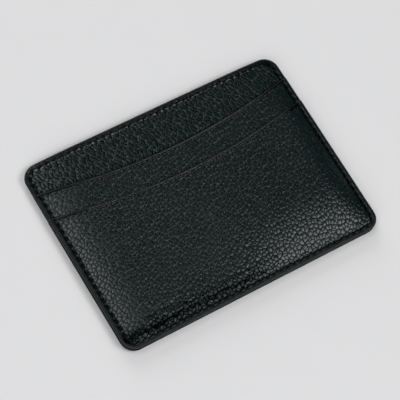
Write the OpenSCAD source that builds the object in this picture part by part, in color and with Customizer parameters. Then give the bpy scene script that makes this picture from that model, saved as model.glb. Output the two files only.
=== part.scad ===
// Slim card holder in black pebbled leather: two mirrored halves, each with a base panel and
// two stacked card slots, sewn together on three sides around an open centre pocket.
// It lies on its back face. +X runs along the width, +Y points out of the pocket mouths,
// +Z points out of the front face. The origin is at the middle of the footprint, on the table.

/* [Overall] */
// Width across the two side edges
holder_w = 100; // [94:1:110]
// Height from the bottom edge to the top edge
holder_h = 72; // [68:1:80]
// Radius of the four outer corners
corner_r = 5; // [4:0.5:7]

/* [Leather and lining] */
// Thickness of each base panel
base_t = 0.55; // [0.45:0.05:0.7]
// Thickness of each upper pocket strip, and of the cloth tail below it
upper_t = 0.45; // [0.35:0.05:0.6]
// Thickness of each lower pocket panel
lower_t = 0.5; // [0.4:0.05:0.6]
// Thickness of the cloth that lines the centre pocket
lining_t = 0.1; // [0.1:0.05:0.2]
// Thickness of the board inside each half
stiffener_t = 0.2; // [0.15:0.05:0.3]

/* [Pockets] */
// Lowest point of the upper pocket mouth, above the middle of the holder
upper_mouth_y = 20.6; // [18:0.2:22]
// Lowest point of the lower pocket mouth, above the middle of the holder
lower_mouth_y = 10.6; // [8:0.1:12]
// Radius of the shallow curve of both mouths
mouth_r = 222; // [180:1:300]
// Room in a card slot while it is empty
slot_gap = 0.15; // [0.1:0.05:0.4]
// Room in the centre pocket, a little over one card
centre_gap = 0.9; // [0.8:0.1:1.6]
// Lower end of the upper pocket's leather strip
strip_end_y = 2; // [0:0.5:4]
// Height over which the strip and its cloth tail lap
lap_h = 4; // [3:0.5:6]
// Height of the seam that is the floor of the upper slot
floor_seam_y = -24; // [-27:0.5:-22]

/* [Edges] */
// Width of the painted bead round each half
bead_w = 0.5; // [0.3:0.05:0.7]
// Width of the painted bead along each pocket mouth
mouth_bead_w = 0.4; // [0.3:0.05:0.6]
// Width of the flat border that the stitching presses down
border_w = 2.4; // [2.3:0.1:3]
// Width of the slope from the border up to the full face
slope_w = 3; // [2.5:0.5:4]

/* [Stitching] */
// Distance of the stitching from the outer edge
stitch_inset = 1.8; // [1.6:0.1:2]
// Distance from one stitch to the next
stitch_pitch = 2.7; // [2.4:0.1:3.2]
// Length of the thread that shows between two holes
stitch_len = 1.9; // [1.6:0.1:2.1]
// Width of the thread
thread_w = 0.55; // [0.4:0.05:0.6]
// Height of the thread above the leather
thread_h = 0.3; // [0.2:0.05:0.35]
// Turn of each stitch away from the line of the seam
stitch_slant = 12; // [0:1:20]

/* [Hidden] */

$fn = 48;
arc_fn = 360;
leather_black = [0.07, 0.08, 0.08];
lining_black = [0.12, 0.12, 0.13];
board_grey = [0.45, 0.42, 0.38];
paint_black = [0.05, 0.05, 0.055];
thread_black = [0.03, 0.03, 0.035];

// How far the pressed border stands above the table: what the slots and the board add to the face
lift = 2 * slot_gap + stiffener_t;
pack_t = lower_t + upper_t + base_t;
// Height of the plane between the two halves
mid_z = lift + pack_t + lining_t;
// Larger than the holder every way
reach = 2 * max(holder_w, holder_h);
// Plan radius of the slope's foot, and of its top
foot_r = 6;
top_r = foot_r - slope_w;
slope_centre = border_w + foot_r;
// The board stays on the flat of the face
stiffener_inset = border_w + slope_w + 1;
stiffener_r = 3;
// The floor seam's thread lies in the room of the lower slot
floor_thread_h = slot_gap - 0.05;
floor_thread_w = 0.35;
floor_seam_half_w = holder_w / 2 - border_w - slope_w - 1;

// Heights are pairs: [on the pressed border, on the full face].
// Back half, from the table up
back_lower = [lift, 0];
back_upper = [lift + lower_t, lower_t + slot_gap];
back_base = [lift + lower_t + upper_t, lower_t + upper_t + 2 * slot_gap];
back_lining = [lift + pack_t, lift + pack_t];
// Front half, from the plane between the halves up
front_lining = [mid_z, mid_z + centre_gap];
front_base = front_lining + [lining_t, lining_t + stiffener_t];
front_upper = front_base + [base_t, base_t + slot_gap];
front_lower = front_upper + [upper_t, upper_t + slot_gap];
front_face = front_lower + [lower_t, lower_t];

// Height of a mouth's curve at a place across the width
function mouth_y(low_y, x) = low_y + mouth_r - sqrt(mouth_r * mouth_r - x * x);

// 0 on the border, 1 on the full face
function face_share(x, y) =
    let(from_side = holder_w / 2 - abs(x), from_bottom = y + holder_h / 2)
    max(0, min(1, (min(from_side, from_bottom) - border_w) / slope_w));

function level(pair, x, y) = pair[0] + (pair[1] - pair[0]) * face_share(x, y);

// Outer surfaces that the thread lies on, which step at each mouth
function front_surface(x, y) =
    y > mouth_y(upper_mouth_y, x) ? level(front_upper, x, y) - slot_gap * face_share(x, y)
    : y > mouth_y(lower_mouth_y, x) ? level(front_lower, x, y) - slot_gap * face_share(x, y)
    : level(front_face, x, y);

function back_surface(x, y) =
    y > mouth_y(upper_mouth_y, x) ? level(back_base, x, y)
    : y > mouth_y(lower_mouth_y, x) ? level(back_upper, x, y)
    : level(back_lower, x, y);

// The seam: down the left side, along the bottom and up the right side, with the corner turns.
// Each place is [x, y, heading in degrees].
seam_r = corner_r - stitch_inset;
seam_side = holder_h - 2 * corner_r;
seam_bottom = holder_w - 2 * corner_r;
seam_turn = seam_r * PI / 2;
seam_x = holder_w / 2 - stitch_inset;
seam_y = holder_h / 2 - stitch_inset;
seam_total = 2 * seam_side + seam_bottom + 4 * seam_turn;

function turn_at(centre, start, s) =
    let(a = start + s / seam_turn * 90)
    [centre[0] + seam_r * cos(a), centre[1] + seam_r * sin(a), a + 90];

function seam_at(s) =
    let(cx = holder_w / 2 - corner_r, cy = holder_h / 2 - corner_r,
        s1 = seam_turn, s2 = s1 + seam_side, s3 = s2 + seam_turn,
        s4 = s3 + seam_bottom, s5 = s4 + seam_turn, s6 = s5 + seam_side)
    s < s1 ? turn_at([-cx, cy], 90, s)
    : s < s2 ? [-seam_x, cy - (s - s1), -90]
    : s < s3 ? turn_at([-cx, -cy], 180, s - s2)
    : s < s4 ? [-cx + (s - s3), -seam_y, 0]
    : s < s5 ? turn_at([cx, -cy], 270, s - s4)
    : s < s6 ? [seam_x, -cy + (s - s5), 90]
    : turn_at([cx, cy], 0, s - s6);

seam_count = round(seam_total / stitch_pitch);
seam_places = [for (i = [0 : seam_count - 1]) seam_at((i + 0.5) * seam_total / seam_count)];
top_row_half = holder_w / 2 - border_w - slope_w - 0.5;
top_count = 2 * floor(top_row_half / stitch_pitch) + 1;
top_places = [for (i = [0 : top_count - 1]) [(i - (top_count - 1) / 2) * stitch_pitch, seam_y, 0]];
floor_count = 2 * floor(floor_seam_half_w / stitch_pitch) + 1;
floor_places = [for (i = [0 : floor_count - 1])
    [(i - (floor_count - 1) / 2) * stitch_pitch, floor_seam_y, 0]];

// Outline of the holder, drawn in by an inset
module outline(inset = 0) {
    r = corner_r - inset;
    cx = holder_w / 2 - corner_r;
    cy = holder_h / 2 - corner_r;
    square([2 * (cx + r), 2 * cy], center = true);
    square([2 * cx, 2 * (cy + r)], center = true);
    for (x = [-cx, cx], y = [-cy, cy])
        translate([x, y]) circle(r);
}

module column(inset = 0) {
    translate([0, 0, -1]) linear_extrude(10) outline(inset);
}

// A low mound on the face: square to the sides and bottom, and running out over the top edge
module mound(rise) {
    cx = holder_w / 2 - slope_centre;
    cy = -holder_h / 2 + slope_centre;
    for (x = [-cx, cx])
        translate([x, cy, 0]) cylinder(h = rise, r1 = foot_r, r2 = top_r);
    rotate([90, 0, 0])
        translate([0, 0, -holder_h])
            linear_extrude(holder_h - cy)
                polygon([[-cx - foot_r, 0], [cx + foot_r, 0], [cx + top_r, rise], [-cx - top_r, rise]]);
    rotate([90, 0, 90])
        translate([0, 0, -cx])
            linear_extrude(2 * cx)
                polygon([[cy - foot_r, 0], [holder_h, 0], [holder_h, rise], [cy - top_r, rise]]);
}

// Everything below a front surface
module below(pair) {
    translate([-reach, -reach, -reach]) cube([2 * reach, 2 * reach, reach + pair[0]]);
    if (pair[1] > pair[0])
        translate([0, 0, pair[0]]) mound(pair[1] - pair[0]);
}

// Everything above a back surface
module above(pair) {
    translate([-reach, -reach, pair[0]]) cube([2 * reach, 2 * reach, reach]);
    if (pair[0] > pair[1])
        translate([0, 0, pair[0]]) mirror([0, 0, 1]) mound(pair[0] - pair[1]);
}

// A sheet of the front half, from one surface up through its thickness
module front_sheet(pair, t, inset = bead_w) {
    intersection() {
        difference() {
            below(pair + [t, t]);
            below(pair);
        }
        column(inset);
    }
}

module back_sheet(pair, t, inset = bead_w) {
    intersection() {
        difference() {
            above(pair);
            above(pair + [t, t]);
        }
        column(inset);
    }
}

// The round that cuts a mouth, grown by the width of its bead
module mouth_round(low_y, grow = 0) {
    translate([0, low_y + mouth_r, -1]) cylinder(h = 10, r = mouth_r + grow, $fn = arc_fn);
}

// Everything on one side of a level line across the holder
module upward_of(y) {
    translate([-reach, y, -reach]) cube([2 * reach, reach, 2 * reach]);
}

module downward_of(y) {
    translate([-reach, y - reach, -reach]) cube([2 * reach, reach, 2 * reach]);
}

module mouth_bead(low_y) {
    intersection() {
        children();
        difference() {
            mouth_round(low_y, mouth_bead_w);
            mouth_round(low_y);
        }
    }
}

module stitch(h, w = thread_w, slant = stitch_slant) {
    run = stitch_len - w;
    rotate([0, 0, slant])
        linear_extrude(h) {
            square([run, w], center = true);
            for (x = [-run / 2, run / 2])
                translate([x, 0]) circle(w / 2, $fn = 16);
        }
}

// A point on a stitch, out from its middle along the seam
function along(place, d) = [place[0] + d * cos(place[2]), place[1] + d * sin(place[2])];

module row_on_front(places) {
    for (p = places) {
        a = along(p, -stitch_len / 2);
        b = along(p, stitch_len / 2);
        z = max(front_surface(a[0], a[1]), front_surface(b[0], b[1]));
        translate([p[0], p[1], z]) rotate([0, 0, p[2]]) stitch(thread_h);
    }
}

module row_on_back(places) {
    for (p = places) {
        a = along(p, -stitch_len / 2);
        b = along(p, stitch_len / 2);
        z = min(back_surface(a[0], a[1]), back_surface(b[0], b[1]));
        translate([p[0], p[1], z - thread_h]) rotate([0, 0, p[2]]) stitch(thread_h, slant = -stitch_slant);
    }
}

// Front half

module front_centre_lining() {
    color(lining_black) front_sheet(front_lining, lining_t);
}

module front_stiffener() {
    z = front_lining[1] + lining_t;
    color(board_grey) translate([0, 0, z]) board();
}

module front_base_panel() {
    color(leather_black) front_sheet(front_base, base_t);
}

// The strip's foot is thinned so that the cloth tail laps behind it
module front_upper_pocket() {
    color(leather_black)
        difference() {
            intersection() {
                front_sheet(front_upper, upper_t);
                upward_of(strip_end_y);
            }
            mouth_round(upper_mouth_y, mouth_bead_w);
            intersection() {
                below(front_upper + [upper_t / 2, upper_t / 2]);
                downward_of(strip_end_y + lap_h);
            }
        }
}

module front_upper_mouth_edge() {
    color(paint_black) mouth_bead(upper_mouth_y) front_sheet(front_upper, upper_t);
}

module front_slot_tail() {
    color(lining_black) {
        intersection() {
            front_sheet(front_upper, upper_t);
            downward_of(strip_end_y);
        }
        intersection() {
            front_sheet(front_upper, upper_t / 2);
            upward_of(strip_end_y);
            downward_of(strip_end_y + lap_h);
        }
    }
}

module front_slot_floor_seam() {
    z = front_upper[1] + upper_t;
    color(thread_black)
        for (p = floor_places)
            translate([p[0], p[1], z]) stitch(floor_thread_h, floor_thread_w, 0);
}

module front_lower_pocket() {
    color(leather_black)
        difference() {
            front_sheet(front_lower, lower_t);
            mouth_round(lower_mouth_y, mouth_bead_w);
        }
}

module front_lower_mouth_edge() {
    color(paint_black) mouth_bead(lower_mouth_y) front_sheet(front_lower, lower_t);
}

// The ring that the bead fills, between two heights
module bead_ring(z0, z1) {
    translate([0, 0, z0])
        linear_extrude(z1 - z0)
            difference() {
                outline();
                outline(bead_w);
            }
}

// The bead covers the edges of all the sheets of its half, and steps at each mouth
module front_edge_bead() {
    color(paint_black) {
        difference() {
            intersection() {
                below(front_base + [base_t, base_t]);
                bead_ring(0, front_face[1]);
            }
            below(front_lining);
        }
        difference() {
            bead_ring(front_upper[0], front_lower[0]);
            mouth_round(upper_mouth_y);
        }
        difference() {
            bead_ring(front_lower[0], front_face[0]);
            mouth_round(lower_mouth_y);
        }
    }
}

module front_top_thread() {
    color(thread_black) row_on_front(top_places);
}

module perimeter_needle_thread() {
    color(thread_black) row_on_front(seam_places);
}

// Back half

module back_centre_lining() {
    color(lining_black) back_sheet(back_lining, lining_t);
}

module back_stiffener() {
    z = back_lining[1] - stiffener_t;
    color(board_grey) translate([0, 0, z]) board();
}

module back_base_panel() {
    color(leather_black) back_sheet(back_base, base_t);
}

module back_upper_pocket() {
    color(leather_black)
        difference() {
            intersection() {
                back_sheet(back_upper, upper_t);
                upward_of(strip_end_y);
            }
            mouth_round(upper_mouth_y, mouth_bead_w);
            intersection() {
                above(back_upper + [upper_t / 2, upper_t / 2]);
                downward_of(strip_end_y + lap_h);
            }
        }
}

module back_upper_mouth_edge() {
    color(paint_black) mouth_bead(upper_mouth_y) back_sheet(back_upper, upper_t);
}

module back_slot_tail() {
    color(lining_black) {
        intersection() {
            back_sheet(back_upper, upper_t);
            downward_of(strip_end_y);
        }
        intersection() {
            back_sheet(back_upper + [upper_t / 2, upper_t / 2], upper_t / 2);
            upward_of(strip_end_y);
            downward_of(strip_end_y + lap_h);
        }
    }
}

module back_slot_floor_seam() {
    z = back_upper[1] - floor_thread_h;
    color(thread_black)
        for (p = floor_places)
            translate([p[0], p[1], z]) stitch(floor_thread_h, floor_thread_w, 0);
}

module back_lower_pocket() {
    color(leather_black)
        difference() {
            back_sheet(back_lower, lower_t);
            mouth_round(lower_mouth_y, mouth_bead_w);
        }
}

module back_lower_mouth_edge() {
    color(paint_black) mouth_bead(lower_mouth_y) back_sheet(back_lower, lower_t);
}

module back_edge_bead() {
    color(paint_black) {
        difference() {
            intersection() {
                above(back_base);
                bead_ring(0, mid_z);
            }
            above([mid_z, mid_z]);
        }
        difference() {
            bead_ring(back_upper[0], back_base[0]);
            mouth_round(upper_mouth_y);
        }
        difference() {
            bead_ring(back_lower[0], back_upper[0]);
            mouth_round(lower_mouth_y);
        }
    }
}

module back_top_thread() {
    color(thread_black) row_on_back(top_places);
}

module perimeter_bobbin_thread() {
    color(thread_black) row_on_back(seam_places);
}

module board() {
    half_w = holder_w / 2 - stiffener_inset;
    half_h = holder_h / 2 - stiffener_inset;
    linear_extrude(stiffener_t) {
        square([2 * half_w, 2 * (half_h - stiffener_r)], center = true);
        square([2 * (half_w - stiffener_r), 2 * half_h], center = true);
        for (x = [-1, 1], y = [-1, 1])
            translate([x * (half_w - stiffener_r), y * (half_h - stiffener_r)]) circle(stiffener_r);
    }
}

back_lower_pocket();
back_lower_mouth_edge();
back_upper_pocket();
back_upper_mouth_edge();
back_slot_tail();
back_slot_floor_seam();
back_base_panel();
back_stiffener();
back_centre_lining();
back_edge_bead();
back_top_thread();
perimeter_bobbin_thread();
front_lower_pocket();
front_lower_mouth_edge();
front_upper_pocket();
front_upper_mouth_edge();
front_slot_tail();
front_slot_floor_seam();
front_base_panel();
front_stiffener();
front_centre_lining();
front_edge_bead();
front_top_thread();
perimeter_needle_thread();
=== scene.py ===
# %% [markdown]
# # A leather card holder, made piece by piece
# The holder lies on its back. It is two like halves, and each half is a stack of thin sheets: cloth
# lining, a board, the base panel, the upper pocket strip and the lower pocket panel. The CAD model
# fixes where each sheet starts and ends. Here each sheet is cut flat, given its thickness, and then
# pressed into its real, slightly swollen shape.
#
# Loading comes first, because every size below is read from the CAD model or hangs on one that is.

# %% Load the CAD model
import math

import bpy
import numpy as np
from mathutils import Matrix, Vector


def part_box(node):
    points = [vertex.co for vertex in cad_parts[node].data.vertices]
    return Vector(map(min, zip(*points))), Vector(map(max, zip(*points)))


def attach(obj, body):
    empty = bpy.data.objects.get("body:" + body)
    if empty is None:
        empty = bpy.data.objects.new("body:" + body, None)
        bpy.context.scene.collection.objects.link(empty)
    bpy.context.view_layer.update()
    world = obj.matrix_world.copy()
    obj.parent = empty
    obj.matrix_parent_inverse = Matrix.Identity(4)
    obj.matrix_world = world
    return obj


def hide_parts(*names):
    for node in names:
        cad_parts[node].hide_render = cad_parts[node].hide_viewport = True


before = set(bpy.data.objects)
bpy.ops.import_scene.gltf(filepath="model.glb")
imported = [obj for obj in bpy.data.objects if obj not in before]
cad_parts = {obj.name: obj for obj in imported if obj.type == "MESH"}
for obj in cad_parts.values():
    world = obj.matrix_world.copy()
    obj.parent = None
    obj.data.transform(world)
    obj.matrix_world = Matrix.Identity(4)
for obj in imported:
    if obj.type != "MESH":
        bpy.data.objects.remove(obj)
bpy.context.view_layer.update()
MM = 0.001
print("CAD nodes:", len(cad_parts))

# %% [markdown]
# ## Sizes
# Leather is worked in millimetres, so the shapes are too. Each vertex is put down in metres at the
# very end. The outline, the two mouths and the room in the centre pocket are read from the CAD
# nodes. The thicknesses are those of the sheets.

# %% Driving sizes, in millimetres
outline_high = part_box("front_edge_bead")[1] / MM
HALF_W = outline_high.x
HALF_H = outline_high.y
MID_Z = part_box("back_edge_bead")[1].z / MM
CORNER_R = 5.0
SHEET_INSET = 0.5
SEAM_INSET = 1.8
STITCH_PITCH = 2.7
STITCH_LEN = 1.9
STITCH_SLANT = 12.0
MOUTH_R = 222.0
MOUTH_BEAD = 0.4
MOUTH_LOW = {
    "upper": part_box("front_upper_mouth_edge")[0].y / MM + MOUTH_BEAD,
    "lower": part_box("front_lower_mouth_edge")[0].y / MM + MOUTH_BEAD,
}
STRIP_END_Y = 2.0
LAP_H = 4.0
FLOOR_SEAM_Y = -24.0
LINING_T = 0.1
CLOTH_T = 0.2
SLOT_GAP = 0.15
CENTRE_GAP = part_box("front_centre_lining")[1].z / MM - LINING_T - MID_Z
print("outline", round(2 * HALF_W, 2), "x", round(2 * HALF_H, 2), "centre pocket", round(CENTRE_GAP, 2))

# %% [markdown]
# ## The stack of sheets
# Every sheet has an inner and an outer surface. Each surface has two heights above the plane between
# the halves: one on the sewn border, where all the sheets are pressed together, and one on the full
# face, where the slots, the board and the centre pocket need room. A table worked out by a loop
# keeps the sheets from ever running into each other.

# %% Heights of each sheet
SHEETS = [
    ("lining", LINING_T, 0.0),
    ("board", 0.2, 0.0),
    ("base", 0.55, 0.0),
    ("upper", 0.45, SLOT_GAP),
    ("lower", 0.5, SLOT_GAP),
]


def stack_levels(gap):
    """Maps each sheet to its inner and outer level, each a pair: (on the border, on the face)."""
    levels = {}
    border, face = 0.0, gap
    for name, thick, room in SHEETS:
        inner = (border, face + room)
        if name != "board":
            border += thick
        face += room + thick
        levels[name] = (inner, (border, face))
    return levels


HALVES = {
    "front": {"gap": CENTRE_GAP, "side": 1, "levels": stack_levels(CENTRE_GAP)},
    "back": {"gap": 0.0, "side": -1, "levels": stack_levels(0.0)},
}
print("front face stands at", round(MID_Z + HALVES["front"]["levels"]["lower"][1][1], 2), "mm")

# %% [markdown]
# ## The form
# A real holder is not a slab with a chamfer. Inside the stitching the leather swells up steeply and
# then flattens out. Towards the open top edge it has nothing to hold it down, so there it rises in
# one long arch. At the bottom the seam pinches the leather on the left, so that it rises in a short
# steep slope there, and in a long soft one on the right. All of that is one number from 0 on the
# border to 1 on the full face. Cards have since pushed the lower right out a little further. A second
# number says how far the stack is squeezed: in the stitch line, at the rolled edge, and in a few
# soft wrinkles where the seam has pulled the leather.
#
# A ramp rises softly from 0 to 1, and a hill falls away on both sides. A pair such as PINCH_FADE is
# where a ramp starts, and its length.

# %% How far the leather has risen, and how far it is squeezed
SIDE_START = 1.9
SIDE_SOFT = 0.9
SIDE_REACH = {"left": 13.0, "right": 9.0}
TOP_REACH = 22.0
TOP_REACH_RAMP = (12.0, 26.0)
SIDE_POWER = 2.3
BOTTOM_START = 2.0
BOTTOM_SOFT = 1.8
BOTTOM_REACH = 19.0
BOTTOM_POWER = 1.8
PINCH_REACH = 2.9
PINCH_SHARE = 0.92
PINCH_FADE = (-22.0, 45.0)
CARD_LIFT = 0.8
CARD_LIFT_RIGHT = (-22.0, 40.0)
CARD_LIFT_FADE_UP = (-20.0, 34.0)
LEFT_LIFT = 0.25
LEFT_LIFT_LEFT = (20.0, 25.0)
GROOVE_SQUEEZE = 0.07
GROOVE_W = 0.45
ROLL_SQUEEZE = 0.08
ROLL_W = 0.4
WAVE_SQUEEZE = 0.006
# The squeeze at which a wrinkle's trough gets its full painted shade.
WRINKLE_FULL_SHADE = 0.05
WRINKLES = [
    # x, y, direction in degrees, length, width, squeeze
    (-38.0, -28.6, 9.0, 6.0, 0.42, 0.045),
    (-39.5, -31.3, 20.0, 5.0, 0.40, 0.05),
    (-34.0, -30.6, -12.0, 6.5, 0.42, 0.055),
    (-30.5, -28.2, 12.0, 5.5, 0.38, 0.04),
    (-28.0, -32.0, 8.0, 6.0, 0.45, 0.05),
    (-24.0, -29.8, -14.0, 6.0, 0.42, 0.05),
    (-19.0, -31.8, 12.0, 6.0, 0.45, 0.05),
    (-15.0, -29.6, -10.0, 5.0, 0.40, 0.035),
    (-9.0, -31.6, 10.0, 6.0, 0.45, 0.045),
    (-1.0, -31.2, -8.0, 6.0, 0.45, 0.04),
    (8.0, -32.0, 8.0, 5.0, 0.45, 0.03),
]


def smooth_step(t):
    t = np.clip(t, 0.0, 1.0)
    return t * t * (3.0 - 2.0 * t)


def ramp(value, start, length):
    """0 up to start, then a soft rise to 1 over a length."""
    return smooth_step((value - start) / length)


def hill(away, width):
    """1 where away is 0, falling softly to both sides."""
    return np.exp(-((away / width) ** 2))


def swell(distance, start, soft, reach, power):
    """0 up to the seam, then steeper over a soft stretch, then slowly flattening to 1."""
    run = np.maximum(distance - start, 0.0)
    run = np.where(run < soft, run * run / (2.0 * soft), run - soft / 2.0)
    return 1.0 - (1.0 - np.clip(run / reach, 0.0, 1.0)) ** power


def edge_distances(x, y):
    """Distance in from the side edges, from the bottom edge, and from the nearest edge of all."""
    from_side = HALF_W - np.abs(x)
    from_bottom = y + HALF_H
    corner_x = np.abs(x) - (HALF_W - CORNER_R)
    corner_y = np.abs(y) - (HALF_H - CORNER_R)
    in_corner = (corner_x > 0) & (corner_y > 0)
    straight = np.minimum(from_side, np.minimum(from_bottom, HALF_H - y))
    nearest = np.where(in_corner, CORNER_R - np.hypot(corner_x, corner_y), straight)
    return from_side, from_bottom, nearest


def pinch_share(x):
    """How tightly the bottom seam holds the leather down: most at the left, not at all at the right."""
    return PINCH_SHARE * (1.0 - ramp(x, *PINCH_FADE))


def face_share(x, y):
    """0 on the sewn border and 1 on the full face."""
    from_side, from_bottom, nearest = edge_distances(x, y)
    near_reach = np.where(x < 0, SIDE_REACH["left"], SIDE_REACH["right"])
    side_reach = near_reach + (TOP_REACH - near_reach) * ramp(y, *TOP_REACH_RAMP)
    broad = swell(from_bottom, BOTTOM_START, BOTTOM_SOFT, BOTTOM_REACH, BOTTOM_POWER)
    pinched = swell(from_bottom, BOTTOM_START, BOTTOM_SOFT, PINCH_REACH, BOTTOM_POWER)
    from_below = broad + (pinched - broad) * pinch_share(x)
    return swell(from_side, SIDE_START, SIDE_SOFT, side_reach, SIDE_POWER) * from_below


def worn_lift(x, y):
    """Cards have pushed out the lower right and, a little, the left: extra share of the rise."""
    lower = 1.0 - ramp(y, *CARD_LIFT_FADE_UP)
    return CARD_LIFT * ramp(x, *CARD_LIFT_RIGHT) * lower + LEFT_LIFT * ramp(-x, *LEFT_LIFT_LEFT)


def wrinkle_troughs(x, y, half):
    """All the wrinkles at each place: (squeeze of a trough with its ridge, painted shade of a trough)."""
    lost = np.zeros_like(x * 1.0)
    trough_shade = np.zeros_like(x * 1.0)
    if half == "front":
        for wx, wy, turn, length, width, depth in WRINKLES:
            c, s = math.cos(math.radians(turn)), math.sin(math.radians(turn))
            run = (x - wx) * c + (y - wy) * s
            across = (y - wy) * c - (x - wx) * s + 0.3 * np.sin(run * 1.3 + wx)
            fade = hill(run, length / 2.0)
            trough = hill(across, width)
            lost = lost + depth * fade * (trough - 0.5 * hill(across - 1.0, width))
            trough_shade = np.maximum(trough_shade, depth / WRINKLE_FULL_SHADE * fade * trough)
    return lost, np.minimum(trough_shade, 1.0)


def squeeze(x, y, half):
    """Share of its height that the stack loses at a place."""
    nearest = edge_distances(x, y)[2]
    lost = GROOVE_SQUEEZE * hill(nearest - SEAM_INSET, GROOVE_W)
    lost = lost + ROLL_SQUEEZE * hill(nearest, ROLL_W)
    if half == "front":
        waves = np.sin(x * 0.31 + y * 0.11 + 0.6) * np.sin(y * 0.27 - x * 0.07)
        lost = lost + WAVE_SQUEEZE * waves * face_share(x, y)
    return lost + wrinkle_troughs(x, y, half)[0]


def surface_height(level, x, y, half):
    """Height of a surface above the plane between the halves."""
    border, face = level
    share = face_share(x, y)
    if half == "front":
        share = share * (1.0 + worn_lift(x, y))
    return (border + (face - border) * share) * (1.0 - squeeze(x, y, half))


print("share of the rise 5 mm in from the left edge:", round(float(face_share(-45.0, 0.0)), 3))

# %% [markdown]
# ## Outline, mouths and seam
# The outline is a rectangle with round corners, walked anticlockwise from the start of the top left
# corner. The same walk, a little further in, is the line of the stitching. It stops at the end of the
# top right corner, because the top edge has a row of its own. A pocket mouth is a very shallow arc,
# lowest in the middle.

# %% Walking the outline
CORNER_X = HALF_W - CORNER_R
CORNER_Y = HALF_H - CORNER_R
STEP_BLUR = 0.02
TOP_ROW_INSET = 5.9
FLOOR_ROW_INSET = 6.4


def outline_length(inset=0.0):
    return 4 * (CORNER_X + CORNER_Y) + 2 * math.pi * (CORNER_R - inset)


def outline_point(s, inset=0.0):
    """Place and heading after walking a distance s along the outline: (x, y, radians)."""
    r = CORNER_R - inset
    turn = r * math.pi / 2
    corners = [(-CORNER_X, CORNER_Y, 90), (-CORNER_X, -CORNER_Y, 180),
               (CORNER_X, -CORNER_Y, 270), (CORNER_X, CORNER_Y, 360)]
    for (ox, oy, start), straight in zip(corners, [2 * CORNER_Y, 2 * CORNER_X] * 2):
        if s < turn:
            a = math.radians(start + s / turn * 90)
            return ox + r * math.cos(a), oy + r * math.sin(a), a + math.pi / 2
        s -= turn
        a = math.radians(start + 90)
        if s < straight:
            return (ox + r * math.cos(a) - s * math.sin(a),
                    oy + r * math.sin(a) + s * math.cos(a), a + math.pi / 2)
        s -= straight
    return outline_point(0.0, inset)


def mouth_y(mouth, x):
    """Height of a mouth's edge at a place across the width."""
    return MOUTH_LOW[mouth] + MOUTH_R - np.sqrt(MOUTH_R**2 - np.asarray(x) ** 2)


def outer_level(levels, x, y, blur=STEP_BLUR):
    """Level of the outermost sheet, which steps up below each mouth: (on the border, on the face)."""
    base, upper, lower = (levels[n][1] for n in ("base", "upper", "lower"))
    in_upper = smooth_step((mouth_y("upper", x) - y) / blur + 0.5)
    in_lower = smooth_step((mouth_y("lower", x) - y) / blur + 0.5)
    return tuple(base[k] + in_upper * (upper[k] - base[k]) + in_lower * (lower[k] - upper[k])
                 for k in (0, 1))


corner_turns = 4 * (CORNER_R - SEAM_INSET) * math.pi / 2
seam_length = 2 * 2 * CORNER_Y + 2 * CORNER_X + corner_turns
seam_count = round(seam_length / STITCH_PITCH)
SEAM_PLACES = [outline_point((i + 0.5) * seam_length / seam_count, SEAM_INSET) for i in range(seam_count)]


def straight_row(half_length, y):
    """Stitch places along a level line, centred."""
    each_side = math.floor(half_length / STITCH_PITCH)
    return [(i * STITCH_PITCH, y, 0.0) for i in range(-each_side, each_side + 1)]


TOP_PLACES = straight_row(HALF_W - TOP_ROW_INSET, HALF_H - SEAM_INSET)
FLOOR_PLACES = straight_row(HALF_W - FLOOR_ROW_INSET, FLOOR_SEAM_Y)
print("stitches round the edge:", len(SEAM_PLACES))
print("stitches on top:", len(TOP_PLACES), "and on a slot's floor:", len(FLOOR_PLACES))

# %% [markdown]
# ## The camera
# A long lens looks down on the holder from its lower left, and is rolled a little. It is made early
# so that every later step can be looked at.

# %% Camera
CAM_AZ = -52.2
CAM_EL = 63.7
CAM_ROLL = 23.1
CAM_DISTANCE = 0.6697
CAM_AIM = Vector((-0.00015, 0.00055, 0.0005))
CAM_LENS = 180


def camera_axes():
    az, el, roll = (math.radians(v) for v in (CAM_AZ, CAM_EL, CAM_ROLL))
    back = Vector((math.sin(az) * math.cos(el), -math.cos(az) * math.cos(el), math.sin(el)))
    right = Vector((0, 0, 1)).cross(back).normalized()
    up = back.cross(right)
    rolled_right = math.cos(roll) * right + math.sin(roll) * up
    rolled_up = math.cos(roll) * up - math.sin(roll) * right
    return rolled_right, rolled_up, back


bpy.ops.object.camera_add()
camera = bpy.context.object
camera.name = "camera"
camera.data.lens = CAM_LENS
camera.data.sensor_width = 36
right, up, back = camera_axes()
camera.matrix_world = (Matrix.Translation(CAM_AIM + back * CAM_DISTANCE)
                       @ Matrix((right, up, back)).transposed().to_4x4())
bpy.context.scene.camera = camera
print("camera stands at", [round(v, 3) for v in camera.location])

# %% [markdown]
# ## The pebble pattern
# Pebbled leather is a net of fine creases round small rounded cells. A Voronoi texture, read as the
# distance to the nearest cell edge, gives just that net. Read as the distance to the middle of the
# cell, it gives each pebble its round top. The net is used twice: once as real displacement of the
# mesh, and once in the leather material for detail finer than the mesh. So it is built by functions
# that work in either kind of node tree.

# %% Node helpers and the pebble net
CELL = 1.3
CELL_BEND = 0.55
PRESSED_CREASE = 0.26
GRAINS = {"plain": (25.0, 1.1), "drawn": (-58.0, 1.7)}


def add_node(tree, kind, settings=None, **inputs):
    """Adds a node, sets its options, then sets or links its inputs by name, or by number as _0."""
    node = tree.nodes.new(kind)
    for key, value in (settings or {}).items():
        setattr(node, key, value)
    for key, value in inputs.items():
        socket = node.inputs[int(key[1:])] if key[0] == "_" else node.inputs[key.replace("_", " ")]
        if isinstance(value, bpy.types.NodeSocket):
            tree.links.new(value, socket)
        else:
            socket.default_value = value
    return node


def math_node(tree, operation, a, b=0.0, clamp=False):
    settings = {"operation": operation, "use_clamp": clamp}
    return add_node(tree, "ShaderNodeMath", settings, _0=a, _1=b).outputs[0]


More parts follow.
